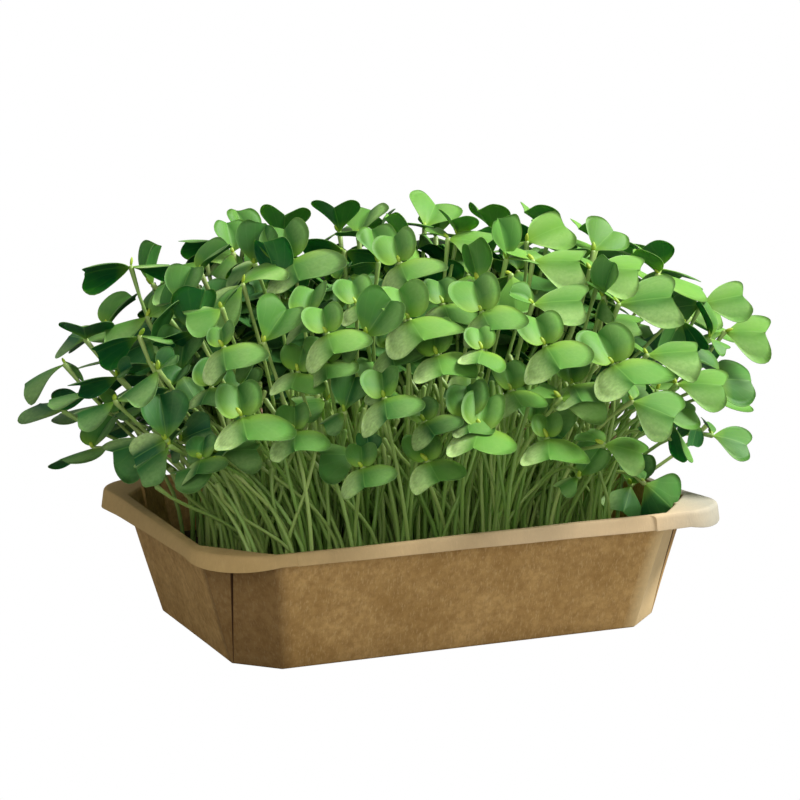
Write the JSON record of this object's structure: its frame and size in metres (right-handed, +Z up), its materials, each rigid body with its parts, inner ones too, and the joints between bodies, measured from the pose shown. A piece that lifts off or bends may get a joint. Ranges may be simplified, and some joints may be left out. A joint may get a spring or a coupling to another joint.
{
  "type": "microgreens tray",
  "caption": "Shallow brown paper tray with a folded rim, full of growing medium and a dense dome of sprouts with notched seed leaves.",
  "frame": {"origin": "middle of the tray's flat underside", "axes": "+X along the tray's long side, +Y from the front wall to the back wall, +Z up"},
  "size_m": [0.2441, 0.1736, 0.1342],
  "materials": {
    "brown_board": "matte",
    "growing_medium": "matte",
    "sprout_green": "satin"
  },
  "bodies": {
    "root": {"growing_medium": "growing_medium", "sprout_tuft_01": "sprout_green", "sprout_tuft_02": "sprout_green", "sprout_tuft_03": "sprout_green", "sprout_tuft_04": "sprout_green", "sprout_tuft_05": "sprout_green", "sprout_tuft_06": "sprout_green", "sprout_tuft_07": "sprout_green", "sprout_tuft_08": "sprout_green", "sprout_tuft_10": "sprout_green", "sprout_tuft_11": "sprout_green", "sprout_tuft_12": "sprout_green", "sprout_tuft_13": "sprout_green", "sprout_tuft_14": "sprout_green", "sprout_tuft_15": "sprout_green", "sprout_tuft_16": "sprout_green", "sprout_tuft_17": "sprout_green", "sprout_tuft_18": "sprout_green", "sprout_tuft_19": "sprout_green", "sprout_tuft_20": "sprout_green", "sprout_tuft_21": "sprout_green", "sprout_tuft_22": "sprout_green", "sprout_tuft_23": "sprout_green", "sprout_tuft_24": "sprout_green", "sprout_tuft_25": "sprout_green", "sprout_tuft_26": "sprout_green", "sprout_tuft_27": "sprout_green", "sprout_tuft_28": "sprout_green", "sprout_tuft_29": "sprout_green", "sprout_tuft_30": "sprout_green", "sprout_tuft_31": "sprout_green", "sprout_tuft_32": "sprout_green", "sprout_tuft_33": "sprout_green", "sprout_tuft_34": "sprout_green", "sprout_tuft_35": "sprout_green", "sprout_tuft_36": "sprout_green", "sprout_tuft_37": "sprout_green", "sprout_tuft_38": "sprout_green", "sprout_tuft_39": "sprout_green", "sprout_tuft_40": "sprout_green", "sprout_tuft_41": "sprout_green", "sprout_tuft_42": "sprout_green", "sprout_tuft_43": "sprout_green", "sprout_tuft_44": "sprout_green", "sprout_tuft_45": "sprout_green", "sprout_tuft_46": "sprout_green", "sprout_tuft_47": "sprout_green", "sprout_tuft_48": "sprout_green", "sprout_tuft_49": "sprout_green", "sprout_tuft_50": "sprout_green", "tray": "brown_board"}
  },
  "joints": []
}
